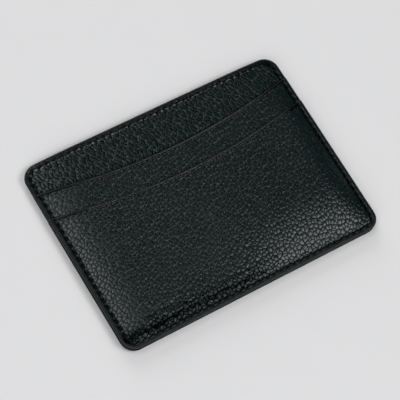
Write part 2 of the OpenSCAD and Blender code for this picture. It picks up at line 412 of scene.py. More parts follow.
def multiply_add(tree, a, b, c, clamp=False):
    """a times b, plus c."""
    settings = {"operation": "MULTIPLY_ADD", "use_clamp": clamp}
    return add_node(tree, "ShaderNodeMath", settings, _0=a, _1=b, _2=c).outputs[0]


def vector_node(tree, operation, a, b):
    return add_node(tree, "ShaderNodeVectorMath", {"operation": operation}, _0=a, _1=b).outputs[0]


def remap(tree, value, low, high, new_low=0.0, new_high=1.0, kind="SMOOTHSTEP"):
    node = add_node(tree, "ShaderNodeMapRange", {"interpolation_type": kind}, Value=value,
                    From_Min=low, From_Max=high, To_Min=new_low, To_Max=new_high)
    return node.outputs[0]


def bent_cells(tree, place):
    """A place in metres, as a place counted in cells, bent a little so no cell is quite straight."""
    cells = vector_node(tree, "MULTIPLY", place, (1 / (CELL * MM),) * 3)
    noise = add_node(tree, "ShaderNodeTexNoise", {"noise_dimensions": "2D"},
                     Vector=cells, Scale=0.7, Detail=2.0)
    centred = vector_node(tree, "SUBTRACT", noise.outputs["Color"], (0.5, 0.5, 0.5))
    wobble = vector_node(tree, "MULTIPLY", centred, (CELL_BEND, CELL_BEND, 0.0))
    return vector_node(tree, "ADD", cells, wobble)


def voronoi(tree, cells, feature):
    settings = {"voronoi_dimensions": "2D", "feature": feature}
    node = add_node(tree, "ShaderNodeTexVoronoi", settings, Vector=cells, Scale=1.0, Randomness=0.95)
    return node.outputs["Distance"]


def pebble_net(tree, cells, crease_w):
    """The net of creases: 0 in a crease and 1 on a pebble. crease_w is a share of a cell."""
    return remap(tree, voronoi(tree, cells, "DISTANCE_TO_EDGE"), 0.0, crease_w)


def pebble_dome(tree, cells):
    """The soft round top of each pebble: 1 at its middle, falling as the square of the distance."""
    away = voronoi(tree, cells, "F1")
    return math_node(tree, "SUBTRACT", 1.0, math_node(tree, "MULTIPLY", away, away))


def turned_place(tree, place, turn, stretch):
    """Stretched leather's pattern: turned by an angle in degrees, then drawn out along it."""
    turned = add_node(tree, "ShaderNodeVectorRotate", {"rotation_type": "Z_AXIS"},
                      Vector=place, Angle=math.radians(-turn))
    return vector_node(tree, "MULTIPLY", turned.outputs[0], (1.0 / stretch, 1.0, 1.0))


def pebble_press(name, turn, stretch):
    """A geometry node group that sinks the creases by the mesh's own "pebble" attribute."""
    tree = bpy.data.node_groups.new(name, "GeometryNodeTree")
    tree.interface.new_socket("Geometry", in_out="INPUT", socket_type="NodeSocketGeometry")
    tree.interface.new_socket("Geometry", in_out="OUTPUT", socket_type="NodeSocketGeometry")
    start = tree.nodes.new("NodeGroupInput")
    end = tree.nodes.new("NodeGroupOutput")
    place = tree.nodes.new("GeometryNodeInputPosition").outputs[0]
    cells = bent_cells(tree, turned_place(tree, place, turn, stretch))
    height = pebble_net(tree, cells, PRESSED_CREASE)
    crease = math_node(tree, "SUBTRACT", 1.0, height)
    depth = add_node(tree, "GeometryNodeInputNamedAttribute", {"data_type": "FLOAT"}, Name="pebble")
    sink = math_node(tree, "MULTIPLY", crease, depth.outputs["Attribute"])
    offset = add_node(tree, "ShaderNodeCombineXYZ", Z=sink).outputs[0]
    moved = add_node(tree, "GeometryNodeSetPosition", Geometry=start.outputs[0], Offset=offset)
    tree.links.new(moved.outputs[0], end.inputs[0])
    return tree


PRESSES = {grain: pebble_press("press_" + grain, *GRAINS[grain]) for grain in GRAINS}
print("grain patterns:", sorted(PRESSES))

# %% [markdown]
# ## Effects that several materials share
# A node group is like a named recipe: built once, then placed in each material with its own values.
# The first is the leather's grain with its fine pores. The second is the uneven wear and handling
# that every surface of a used holder has.

# %% Shared shader groups
SHADED_CREASE = 0.15
DOME_HEIGHT = 4.0
SMALL_HEIGHT = 0.14


def shader_group(name, inputs, outputs):
    """An empty shader group with named float or vector sockets."""
    tree = bpy.data.node_groups.new(name, "ShaderNodeTree")
    for socket, kind, value in inputs:
        made = tree.interface.new_socket(socket, in_out="INPUT", socket_type=kind)
        if value is not None:
            made.default_value = value
    for socket, kind in outputs:
        tree.interface.new_socket(socket, in_out="OUTPUT", socket_type=kind)
    return tree, tree.nodes.new("NodeGroupInput"), tree.nodes.new("NodeGroupOutput")


def noise_of(tree, place, size, detail, dimensions="3D"):
    """Noise with spots of about this size in millimetres."""
    settings = {"noise_dimensions": dimensions}
    node = add_node(tree, "ShaderNodeTexNoise", settings, Vector=place, Scale=1 / (size * MM), Detail=detail)
    return node.outputs[0]


def grain_group():
    """Pebbles with round tops, a finer net over them, and pores."""
    tree, start, end = shader_group(
        "leather_grain",
        [("Place", "NodeSocketVector", None), ("Pores", "NodeSocketFloat", 0.3)],
        [("Height", "NodeSocketFloat"), ("Pebble", "NodeSocketFloat")])
    place = start.outputs["Place"]
    cells = bent_cells(tree, place)
    pebble = pebble_net(tree, cells, SHADED_CREASE)
    settings = {"voronoi_dimensions": "2D", "feature": "DISTANCE_TO_EDGE"}
    small = add_node(tree, "ShaderNodeTexVoronoi", settings, Vector=place, Scale=1 / (0.5 * CELL * MM))
    small_net = remap(tree, small.outputs["Distance"], 0.0, 0.2)
    fine = math_node(tree, "MULTIPLY", noise_of(tree, place, 0.16, 3.0, "2D"), start.outputs["Pores"])
    domed = multiply_add(tree, pebble_dome(tree, cells), DOME_HEIGHT, pebble)
    height = math_node(tree, "ADD", multiply_add(tree, small_net, SMALL_HEIGHT, domed), fine)
    tree.links.new(height, end.inputs["Height"])
    tree.links.new(pebble, end.inputs["Pebble"])
    return tree


def handling_group():
    """Soft blotches of wear, whose size is chosen, and a few small specks."""
    tree, start, end = shader_group(
        "handling",
        [("Place", "NodeSocketVector", None), ("Size", "NodeSocketFloat", 9.0)],
        [("Blotch", "NodeSocketFloat"), ("Speck", "NodeSocketFloat")])
    scale = math_node(tree, "DIVIDE", 1 / MM, start.outputs["Size"])
    blotch = add_node(tree, "ShaderNodeTexNoise", Vector=start.outputs["Place"], Scale=scale, Detail=3.0)
    speck = noise_of(tree, start.outputs["Place"], 0.5, 2.0)
    tree.links.new(remap(tree, blotch.outputs[0], 0.35, 0.65), end.inputs["Blotch"])
    tree.links.new(remap(tree, speck, 0.62, 0.74), end.inputs["Speck"])
    return tree


GRAIN = grain_group()
HANDLING = handling_group()
print("shader groups:", GRAIN.name, HANDLING.name)

# %% [markdown]
# ## Materials
# The leather is nearly black with a trace of green-blue. Hands polish it unevenly, so its gloss comes
# in soft blotches, and its thin finish is a light clear coat. The creases of the grain are painted
# darker than the pebble tops, as painted shade. Stitch slots, the seam's groove, wrinkles, the pinched
# slope at the bottom, the crease below a mouth and the leather under a mouth's step get painted shade
# too. A high roughness can't show that, because rough black still scatters a grey sheen. So there the
# shader turns to black metal, which mirrors only its own black, and the grain's creases partly do so.
# A leather sheet says where the painted shade goes by a stored attribute, and a second one, "grained",
# says how strong the grain is. The edge paint reads the painted-shade attribute too, for the side of a
# bead that faces the groove, and evenly over each mouth rod.

# %% Materials
LEATHER_TOP = (0.0010, 0.0080, 0.0080, 1)
# Painted shade: the creases of the grain are darker than the tops.
LEATHER_CREASE_SHADED = (0.0010, 0.0036, 0.0037, 1)
LEATHER_WORN = (0.0052, 0.0124, 0.0124, 1)
# Painted shade: the black, and the share of black metal that the grain's creases get.
SHADE_BLACK = (0.0006, 0.0012, 0.0012, 1)
GRAIN_CREASE_SHADE = 0.75
LEATHER_COAT = 0.08
GRAIN_BUMP = 0.031


def new_material(name):
    material = bpy.data.materials.new(name)
    material.use_nodes = True
    tree = material.node_tree
    place = add_node(tree, "ShaderNodeTexCoord").outputs["Object"]
    return material, tree, tree.nodes["Principled BSDF"], place


def use_group(tree, group, **inputs):
    return add_node(tree, "ShaderNodeGroup", {"node_tree": group}, **inputs)


def mix_colours(tree, share, a, b):
    """A colour between a and b. a and b are colours or sockets."""
    node = add_node(tree, "ShaderNodeMix", {"data_type": "RGBA"}, _0=share, _6=a, _7=b)
    return node.outputs[2]


def bump(tree, height, distance):
    """Bump from a height. The distance is the millimetres that a height of 1 stands for."""
    return add_node(tree, "ShaderNodeBump", Height=height, Distance=distance * MM, Strength=1.0).outputs[0]


def stored(tree, name):
    """Reads a float that the mesh carries."""
    return add_node(tree, "ShaderNodeAttribute", {"attribute_name": name}).outputs["Fac"]


def link_to(tree, shader, **sources):
    """Links each source to the shader's input of that name."""
    for name, source in sources.items():
        tree.links.new(source, shader.inputs[name.replace("_", " ")])


def set_on(shader, **values):
    """Sets a constant on each of the shader's inputs named."""
    for name, value in values.items():
        shader.inputs[name.replace("_", " ")].default_value = value


def leather_material(name, grain):
    material, tree, shader, place = new_material(name)
    pattern = turned_place(tree, place, *GRAINS[grain])
    skin = use_group(tree, GRAIN, Place=pattern, Pores=0.22)
    handled = use_group(tree, HANDLING, Place=place, Size=8.0)
    painted_shade = stored(tree, "painted_shade")
    grained = stored(tree, "grained")
    # Painted shade: the grain's creases take the darker colour.
    netted = mix_colours(tree, skin.outputs["Pebble"], LEATHER_CREASE_SHADED, LEATHER_TOP)
    lighter = math_node(tree, "MULTIPLY", handled.outputs["Blotch"], 0.25)
    uneven = mix_colours(tree, lighter, netted, LEATHER_WORN)
    # Painted shade: the grain's creases and the places the sheet marks turn towards black metal, losing
    # sheen and coat.
    crease = math_node(tree, "SUBTRACT", 1.0, skin.outputs["Pebble"])
    deep_crease = math_node(tree, "MULTIPLY", crease, grained)
    shaded = multiply_add(tree, deep_crease, GRAIN_CREASE_SHADE, painted_shade, clamp=True)
    unshaded = math_node(tree, "SUBTRACT", 1.0, shaded, clamp=True)
    relief = math_node(tree, "MULTIPLY", skin.outputs["Height"], grained)
    link_to(tree, shader,
            Base_Color=mix_colours(tree, painted_shade, uneven, SHADE_BLACK),
            Roughness=remap(tree, handled.outputs["Blotch"], 0.0, 1.0, 0.3, 0.25),
            Metallic=shaded,
            Normal=bump(tree, relief, GRAIN_BUMP),
            Coat_Weight=math_node(tree, "MULTIPLY", unshaded, LEATHER_COAT))
    set_on(shader, Specular_IOR_Level=0.5, Coat_Roughness=0.32)
    return material


def paint_material():
    """Edge paint: satin, thick, with brush ripples and a few rubbed specks, and black metal where painted
    shade is asked for.
    """
    material, tree, shader, place = new_material("edge_paint")
    handled = use_group(tree, HANDLING, Place=place, Size=5.0)
    rubbed = math_node(tree, "MULTIPLY", handled.outputs["Speck"], 0.5)
    colour = mix_colours(tree, rubbed, (0.0030, 0.0058, 0.0060, 1), (0.013, 0.017, 0.017, 1))
    painted_shade = stored(tree, "painted_shade")
    link_to(tree, shader,
            Base_Color=mix_colours(tree, painted_shade, colour, SHADE_BLACK),
            Metallic=painted_shade,
            Roughness=remap(tree, handled.outputs["Blotch"], 0.0, 1.0, 0.4, 0.52),
            Normal=bump(tree, noise_of(tree, place, 0.9, 3.0), 0.06))
    set_on(shader, Specular_IOR_Level=0.3, Coat_Weight=0.06, Coat_Roughness=0.3)
    return material


def thread_material():
    """Black bonded polyester: the twist is in the mesh, and the fibres are in the bump."""
    material, tree, shader, place = new_material("thread")
    fibres = noise_of(tree, place, 0.09, 3.0)
    handled = use_group(tree, HANDLING, Place=place, Size=3.0)
    dusty = math_node(tree, "MULTIPLY", handled.outputs["Blotch"], 0.6)
    link_to(tree, shader,
            Base_Color=mix_colours(tree, dusty, (0.0016, 0.0022, 0.0022, 1), (0.0045, 0.0058, 0.0058, 1)),
            Roughness=remap(tree, fibres, 0.3, 0.7, 0.55, 0.8),
            Normal=bump(tree, fibres, 0.03))
    # Half black metal on the black colour takes out half the thread's sheen: painted shade, as the thread
    # lies sunk in its slots.
    set_on(shader, Specular_IOR_Level=0.2, Metallic=0.5)
    return material


def twill_material():
    """Twill cloth: slanting ribs crossed by the finer weft."""
    material, tree, shader, place = new_material("lining_twill")
    ribs = add_node(tree, "ShaderNodeTexWave", {"wave_type": "BANDS", "bands_direction": "DIAGONAL"},
                    Vector=place, Scale=0.16 / MM, Distortion=0.4, Detail=1.0)
    weft = add_node(tree, "ShaderNodeTexWave", {"wave_type": "BANDS", "bands_direction": "Y"},
                    Vector=place, Scale=0.5 / MM, Distortion=0.3)
    cloth = math_node(tree, "MULTIPLY", ribs.outputs["Fac"], weft.outputs["Fac"])
    link_to(tree, shader,
            Base_Color=mix_colours(tree, cloth, (0.004, 0.004, 0.0046, 1), (0.016, 0.0165, 0.018, 1)),
            Roughness=remap(tree, cloth, 0.0, 1.0, 0.95, 0.75),
            Normal=bump(tree, cloth, 0.05))
    set_on(shader, Sheen_Weight=0.2)
    return material


def board_material():
    """Bonded fibre board: pressed scraps with long fibres."""
    material, tree, shader, place = new_material("fibre_board")
    stretched = vector_node(tree, "MULTIPLY", place, (0.25, 1.0, 1.0))
    fibres = noise_of(tree, stretched, 0.35, 5.0)
    handled = use_group(tree, HANDLING, Place=place, Size=2.5)
    plain = mix_colours(tree, fibres, (0.17, 0.13, 0.09, 1), (0.36, 0.31, 0.25, 1))
    link_to(tree, shader,
            Base_Color=mix_colours(tree, handled.outputs["Speck"], plain, (0.08, 0.055, 0.035, 1)),
            Roughness=remap(tree, fibres, 0.2, 0.8, 0.95, 0.8),
            Normal=bump(tree, fibres, 0.05))
    return material


LEATHER = {grain: leather_material("leather_" + grain, grain) for grain in GRAINS}
PAINT = paint_material()
THREAD = thread_material()
TWILL = twill_material()
BOARD = board_material()
print("materials:", [m.name for m in (*LEATHER.values(), PAINT, THREAD, TWILL, BOARD)])

# %% [markdown]
# ## Cutting and pressing a sheet
# A sheet starts as a grid. Its columns are spaced along the outline, so that they follow the round
# corners, and its rows are spread between named lines: the bottom edge, a mouth, the top edge. The
# flat cut gets its thickness from a Solidify modifier, and is then pressed: each vertex takes its
# height from the stack. Doing it in that order is what a bag maker does, and it keeps the thickness
# of every sheet exact.

# %% Tools for one sheet


def deselect_all():
    if bpy.context.mode != "OBJECT":
        bpy.ops.object.mode_set(mode="OBJECT")
    bpy.ops.object.select_all(action="DESELECT")


def vertices_of(obj):
    co = np.zeros(len(obj.data.vertices) * 3)
    obj.data.vertices.foreach_get("co", co)
    return co.reshape(-1, 3)


def put_vertices(obj, co):
    obj.data.vertices.foreach_set("co", co.astype(np.float32).ravel())
    obj.data.update()


def apply_modifier(obj, kind, **settings):
    bpy.context.view_layer.objects.active = obj
    modifier = obj.modifiers.new(kind.lower(), kind)
    for key, value in settings.items():
        setattr(modifier, key, value)
    bpy.ops.object.modifier_apply(modifier=modifier.name)


def store(obj, name, values):
    """A float for each vertex, which a material or a node group can read."""
    attribute = obj.data.attributes.new(name, "FLOAT", "POINT")
    attribute.data.foreach_set("value", np.asarray(values, np.float32))


def column_places(count, half_w, r):
    """count + 1 places across the sheet, evenly spaced along its round corners and its straight."""
    flat = half_w - r
    turn = r * math.pi / 2
    walk = np.linspace(-flat - turn, flat + turn, count + 1)
    over = np.clip(np.abs(walk) - flat, 0.0, turn)
    return np.sign(walk) * (np.minimum(np.abs(walk), flat) + r * np.sin(over / r))


def round_end(x, half_w, half_h, r):
    """How high the sheet's top edge is at x, its round corner included."""
    over = np.clip(np.abs(x) - (half_w - r), 0.0, r)
    return half_h - r + np.sqrt(r * r - over * over)


def cut_flat(name, columns, bands, inset=SHEET_INSET, r=None):
    """A flat sheet between curves. bands is [(curve, rows up to the next curve), ..., (curve, 0)]."""
    r = CORNER_R - inset if r is None else r
    deselect_all()
    rows = sum(count for _, count in bands)
    bpy.ops.mesh.primitive_grid_add(x_subdivisions=columns, y_subdivisions=rows, size=2)
    obj = bpy.context.object
    obj.name = name
    co = vertices_of(obj)
    column = np.rint((co[:, 0] + 1) / 2 * columns).astype(int)
    row = np.rint((co[:, 1] + 1) / 2 * rows).astype(int)
    x = column_places(columns, HALF_W - inset, r)[column]
    y = np.zeros_like(x)
    first = 0
    for (low, count), (high, _) in zip(bands, bands[1:]):
        here = (row >= first) & (row <= first + count)
        share = (row - first) / count
        y = np.where(here, low(x) + (high(x) - low(x)) * share, y)
        first += count
    put_vertices(obj, np.column_stack([x * MM, y * MM, 0 * x]))
    apply_modifier(obj, "SOLIDIFY", thickness=MM, offset=1.0, use_even_offset=False)
    return obj


def press(obj, half, inner, outer):
    """Lifts a flat sheet to its place. inner and outer give a surface's height from x and y."""
    co = vertices_of(obj)
    x, y, through = co[:, 0] / MM, co[:, 1] / MM, co[:, 2] / MM
    low, high = inner(x, y), outer(x, y)
    z = MID_Z + HALVES[half]["side"] * (low + (high - low) * through)
    put_vertices(obj, np.column_stack([co[:, 0], co[:, 1], z * MM]))
    if half == "back":
        obj.data.flip_normals()
    return x, y, through


def finish_piece(obj, material, nodes, smooth=40.0):
    """Shading, material, and what the piece stands for."""
    deselect_all()
    obj.select_set(True)
    bpy.context.view_layer.objects.active = obj
    bpy.ops.object.shade_smooth_by_angle(angle=math.radians(smooth))
    obj.data.materials.clear()
    obj.data.materials.append(material)
    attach(obj, "root")
    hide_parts(*nodes)
    print(obj.name, len(obj.data.polygons), "faces")
    return obj


# %% [markdown]
# ## Where the leather is pressed in, and where shade is painted
# Every stitch has cut a short slot, and a heated crease runs along each mouth. The same functions give
# the depth of these dents and their painted shade, so the dark lines lie in the dents. The groove of the
# stitch line gets painted shade too, heavier along the bottom and the right side, though it is no deeper
# there. So do the wrinkles and the steep pinched slope along the bottom on the left and in the middle,
# and the leather just above a mouth gets a painted shadow under the step.

# %% Slots, creases and painted shade
SLOT_HALF = 0.6
SLOT_R = 0.38
SLOT_NEAR = 1.2
CREASE_IN = 0.8
# From here on: how much painted shade each place gets, and how wide it is.
MOUTH_CREASE_SHADE = 0.95
MOUTH_CREASE_SHADE_BELOW = 0.6
MOUTH_CREASE_SHADE_ABOVE = 0.26
GROOVE_SHADE = 0.12
EXTRA_GROOVE_SHADE = 0.7
GROOVE_SHADE_W = 0.6
EXTRA_SHADE_LOW = (28.0, 6.0)
EXTRA_SHADE_LOW_RIGHT = (-44.0, 6.0)
EXTRA_SHADE_RIGHT = (40.0, 6.0)
WRINKLE_SHADE = 0.85
PINCH_SHADE = 0.86
PINCH_SHADE_GAIN = 2.1
PINCH_SHADE_Y = 3.9
PINCH_SHADE_W = 2.2
STEP_SHADOW = {"base": 0.85, "upper": 0.4}
STEP_SHADOW_W = 0.6


def thread_mask(x, y, half):
    """1 under a stitch and 0 between stitches: where the thread has cut into the leather."""
    slant = HALVES[half]["side"] * math.radians(STITCH_SLANT)
    mask = np.zeros_like(x)
    near = np.flatnonzero(np.abs(edge_distances(x, y)[2] - SEAM_INSET) < SLOT_NEAR)
    places = np.array(SEAM_PLACES + TOP_PLACES)
    away_x = x[near, None] - places[:, 0]
    away_y = y[near, None] - places[:, 1]
    c = np.cos(places[:, 2] + slant)
    s = np.sin(places[:, 2] + slant)
    past_end = np.maximum(np.abs(away_x * c + away_y * s) - SLOT_HALF, 0.0)
    away = np.hypot(past_end, away_y * c - away_x * s).min(axis=1)
    mask[near] = hill(away, SLOT_R)
    return mask


def below_crease(sheet, x, y):
    """Distance down from the heated crease along a sheet's mouth."""
    return mouth_y(sheet, x) - CREASE_IN - y


def painted_shade_share(sheet, x, y, half):
    """Share of painted shade: 1 where the leather is painted fully dark, and 0 where it is left as it is."""
    nearest = edge_distances(x, y)[2]
    # Painted shade in the seam's groove, heavier along the bottom and the right side.
    groove_shade_gain = np.maximum(ramp(-y, *EXTRA_SHADE_LOW) * ramp(x, *EXTRA_SHADE_LOW_RIGHT), ramp(x, *EXTRA_SHADE_RIGHT))
    groove = (GROOVE_SHADE + EXTRA_GROOVE_SHADE * groove_shade_gain) * hill(nearest - SEAM_INSET, GROOVE_SHADE_W)
    # Painted shade on the steep pinched slope near the bottom edge, which would otherwise catch the right
    # box.
    pinched = PINCH_SHADE * np.minimum(PINCH_SHADE_GAIN * pinch_share(x), 1.0)
    pinch_band_shade = pinched * hill(y + HALF_H - PINCH_SHADE_Y, PINCH_SHADE_W)
    # The stitch slots and the wrinkles' troughs get painted shade as well.
    wrinkles = WRINKLE_SHADE * wrinkle_troughs(x, y, half)[1]
    shades = [np.sqrt(thread_mask(x, y, half)), groove, wrinkles, pinch_band_shade]
    # Painted shade along the heated crease below a mouth.
    if sheet != "base":
        below = below_crease(sheet, x, y)
        width = np.where(below > 0.0, MOUTH_CREASE_SHADE_BELOW, MOUTH_CREASE_SHADE_ABOVE)
        shades.append(MOUTH_CREASE_SHADE * hill(below, width))
    # Painted shadow on the leather just above a mouth, under the step.
    if sheet != "lower":
        above_mouth = y - mouth_y("upper" if sheet == "base" else "lower", x)
        shades.append(STEP_SHADOW[sheet] * hill(np.maximum(above_mouth, 0.0), STEP_SHADOW_W))
    return np.maximum.reduce(shades)


print("the crease lies", CREASE_IN, "mm below a mouth")

# %% [markdown]
# ## The leather panels
# Each half has three: the base panel over the whole height, the upper strip, and the lower panel.
# Rows are close together where the leather shows, closest along a mouth, and far apart where another
# sheet covers it. The slots and the crease are pressed first. The grain is then pressed into the
# outer face, and fades towards the seam and the mouth, where the leather was ironed flat.

# %% Leather panels
CREASE_DEPTH = 0.11
CREASE_W = 0.22
SLOT_DEPTH = 0.24
TOP_SLOT_LOSS = 0.8
TOP_SLOT_RAMP = (-4.0, 1.5)
PEBBLE_DEPTH = 0.027
SEAM_GRAIN = 0.3
SEAM_GRAIN_RAMP = (1.6, 1.0)
MOUTH_GRAIN = 0.2
MOUTH_GRAIN_RAMP = (0.0, 0.8)
LAP_FADE = 0.8
LAP_CLEAR = 0.03
PANEL_GRAINED = {"base": 1.7, "upper": 0.9, "lower": 1.0}
COLUMNS = 312


def top_line(x):
    return round_end(x, HALF_W - SHEET_INSET, HALF_H - SHEET_INSET, CORNER_R - SHEET_INSET)


def bottom_line(x):
    return -top_line(x)


def level_line(y):
    return lambda x: y + 0 * x


def below_mouth(mouth, distance):
    return lambda x: mouth_y(mouth, x) - distance


PANEL_BANDS = {
    "base": [(bottom_line, 26), (below_mouth("upper", 1.5), 54), (top_line, 0)],
    "upper": [(level_line(STRIP_END_Y), 7), (below_mouth("lower", 1.5), 28),
              (below_mouth("upper", 2.2), 12), (below_mouth("upper", MOUTH_BEAD), 0)],
    "lower": [(bottom_line, 118), (below_mouth("lower", 2.2), 12), (below_mouth("lower", MOUTH_BEAD), 0)],
}
PANEL_GRAIN = {"base": "drawn", "upper": "plain", "lower": "plain"}


def leather_panel(half, sheet):
    inner_level, outer_level_pair = HALVES[half]["levels"][sheet]
    name = f"{half}_base_panel" if sheet == "base" else f"{half}_{sheet}_pocket"
    panel = cut_flat(name + "_leather", COLUMNS, PANEL_BANDS[sheet])

    def inner(x, y):
        height = surface_height(inner_level, x, y, half)
        if sheet == "upper":
            lap = smooth_step((STRIP_END_Y + LAP_H + LAP_FADE - y) / LAP_FADE)
            height = height + (CLOTH_T + LAP_CLEAR) * lap
        return height

    def outer(x, y):
        height = surface_height(outer_level_pair, x, y, half)
        cut = 1.0 - TOP_SLOT_LOSS * ramp(y - HALF_H, *TOP_SLOT_RAMP)
        height = height - SLOT_DEPTH * cut * thread_mask(x, y, half)
        if sheet != "base":
            height = height - CREASE_DEPTH * hill(below_crease(sheet, x, y), CREASE_W)
        return height

    x, y, through = press(panel, half, inner, outer)
    on_face = through > 0.5
    nearest = edge_distances(x, y)[2]
    grained = PANEL_GRAINED[sheet] * (SEAM_GRAIN + (1.0 - SEAM_GRAIN) * ramp(nearest, *SEAM_GRAIN_RAMP))
    if sheet != "base":
        below = below_crease(sheet, x, y)
        grained = grained * (MOUTH_GRAIN + (1.0 - MOUTH_GRAIN) * ramp(below, *MOUTH_GRAIN_RAMP))
    store(panel, "pebble", -HALVES[half]["side"] * PEBBLE_DEPTH * MM * (on_face * grained))
    apply_modifier(panel, "NODES", node_group=PRESSES[PANEL_GRAIN[sheet]])
    store(panel, "grained", grained)
    # Painted shade, on the outer face only.
    store(panel, "painted_shade", painted_shade_share(sheet, x, y, half) * on_face)
    return finish_piece(panel, LEATHER[PANEL_GRAIN[sheet]], [name])


for half in HALVES:
    for sheet in PANEL_BANDS:
        leather_panel(half, sheet)

# %% [markdown]
# ## Cloth and board
# The centre pocket is lined with thin twill, and each upper pocket goes on down inside as a cloth
# tail, because leather there would be too thick. Cloth that is sewn into a stack lies in it exactly,
# so it is pressed like the leather and needs no simulation. The board is cut smaller, to stay on the
# flat of the face.

# %% Linings, tails and boards
BOARD_INSET = 6.4
BOARD_R = 3.0


def board_line(sign):
    half_h = HALF_H - BOARD_INSET
    return lambda x: sign * round_end(x, HALF_W - BOARD_INSET, half_h, BOARD_R)


def inner_sheet(half, name, sheet, bands, material, thick=None, inset=SHEET_INSET, r=None):
    """A hidden sheet. thick overrides the stack's own thickness."""
    inner_level, outer_pair = HALVES[half]["levels"][sheet]
    piece = cut_flat(f"{half}_{name}_sheet", 120, bands, inset, r)

    def inner(x, y):
        return surface_height(inner_level, x, y, half)

    def outer(x, y):
        return inner(x, y) + thick if thick else surface_height(outer_pair, x, y, half)

    press(piece, half, inner, outer)
    return finish_piece(piece, material, [f"{half}_{name}"])


tail_top = STRIP_END_Y + LAP_H
for half in HALVES:
    lining = inner_sheet(half, "centre_lining", "lining", [(bottom_line, 72), (top_line, 0)],
                         TWILL)
    tail = inner_sheet(half, "slot_tail", "upper", [(bottom_line, 42), (level_line(tail_top), 0)],
                       TWILL, thick=CLOTH_T)
    inner_sheet(half, "stiffener", "board", [(board_line(-1), 60), (board_line(1), 0)], BOARD,
                inset=BOARD_INSET, r=BOARD_R)

# %% [markdown]
# ## Painted edges
# The cut edges of all the sheets are sanded round and painted, so each half ends in one smooth bead,
# and a groove is left between the two beads, with painted shade on the side of each bead that faces it.
# A torus is already a loop with a round section, so it is the natural start: its big circle is led
# round the outline, and its section is stretched to the height of the stack, which steps down at each
# mouth. The lower half of the section is set further in than the upper half, and that opens the groove.

# %% Edge beads
BEAD_STEP_BLUR = 0.7
BEAD_PROUD = 0.03
BEAD_CLEAR = 0.1
STACK_READ_IN = 0.8
OVER_DEPTH, OVER_DEPTH_PER_H = 0.16, 0.2
UNDER_DEPTH, UNDER_DEPTH_PER_H = 0.28, 0.36
INNER_SIDE = 0.2
# Painted shade on the groove side of a bead: how much, and where it starts.
BEAD_GROOVE_SHADE = 0.92
BEAD_GROOVE_SHADE_RAMP = (0.15, 0.5)


def powered(value, power):
    """A power that keeps the sign, which makes a round section fuller or leaner."""
    return np.sign(value) * np.abs(value) ** power


def select_edges(obj, wanted):
    """Selects just these edges, so that the next edit-mode operator acts on nothing else."""
    bpy.context.view_layer.objects.active = obj
    bpy.ops.object.mode_set(mode="EDIT")
    bpy.ops.mesh.select_mode(type="EDGE")
    bpy.ops.mesh.select_all(action="DESELECT")
    bpy.ops.object.mode_set(mode="OBJECT")
    obj.data.edges.foreach_set("select", wanted)


def edge_bead(half):
    deselect_all()
    bpy.ops.mesh.primitive_torus_add(major_segments=256, minor_segments=14,
                                     major_radius=1.0, minor_radius=0.2)
    bead = bpy.context.object
    bead.name = f"{half}_painted_edge"
    co = vertices_of(bead)
    ends = np.array([e.vertices[:] for e in bead.data.edges])
    long_way = np.abs(np.cross(co[ends[:, 0], :2], co[ends[:, 1], :2])) > 0.01
    select_edges(bead, long_way)
    bpy.ops.object.mode_set(mode="EDIT")
    bpy.ops.mesh.subdivide(number_cuts=3)
    bpy.ops.mesh.select_mode(type="VERT")
    bpy.ops.object.mode_set(mode="OBJECT")
    co = vertices_of(bead)
    around = np.arctan2(co[:, 1], co[:, 0]) % (2 * math.pi)
    section = np.arctan2(co[:, 2], np.hypot(co[:, 0], co[:, 1]) - 1.0)
    walk = around / (2 * math.pi) * outline_length()
    px, py, heading = np.array([outline_point(s) for s in walk]).T
    out_x, out_y = np.sin(heading), -np.cos(heading)
    levels = HALVES[half]["levels"]
    in_x, in_y = px - STACK_READ_IN * out_x, py - STACK_READ_IN * out_y
    top = surface_height(outer_level(levels, in_x, in_y, BEAD_STEP_BLUR), in_x, in_y, half) + BEAD_PROUD
    bottom = surface_height(levels["lining"][0], in_x, in_y, half) + BEAD_CLEAR
    tall = top - bottom
    depth = np.where(np.sin(section) > 0,
                     OVER_DEPTH + OVER_DEPTH_PER_H * tall, UNDER_DEPTH + UNDER_DEPTH_PER_H * tall)
    outward = np.cos(section)
    outer_side = depth * (1 - powered(np.maximum(outward, 0), 0.85))
    inset = np.where(outward > 0, outer_side, depth - INNER_SIDE * outward)
    z = (top + bottom) / 2 + tall / 2 * powered(np.sin(section), 0.9)
    place = np.column_stack([px - inset * out_x, py - inset * out_y, MID_Z + HALVES[half]["side"] * z])
    put_vertices(bead, place * MM)
    # Painted shade on the side of the bead that faces the groove.
    store(bead, "painted_shade", ramp(-np.sin(section), *BEAD_GROOVE_SHADE_RAMP) * BEAD_GROOVE_SHADE)
    bpy.ops.object.mode_set(mode="EDIT")
    bpy.ops.mesh.select_all(action="SELECT")
    bpy.ops.mesh.normals_make_consistent(inside=False)
    bpy.ops.object.mode_set(mode="OBJECT")
    return finish_piece(bead, PAINT, [f"{half}_edge_bead"], smooth=60.0)


for half in HALVES:
    edge_bead(half)

# %% [markdown]
# ## Painted mouths
# A mouth is part of a large circle, so a small round section is spun about that circle's centre.
# The spun rod is then pressed into the stack like a sheet, so that it follows the swell of the face.

# %% Mouth edges
ROD_END_IN = 0.45
ROD_STEPS = 260
ROD_PROUD = 0.03
ROD_SHADE = 0.35


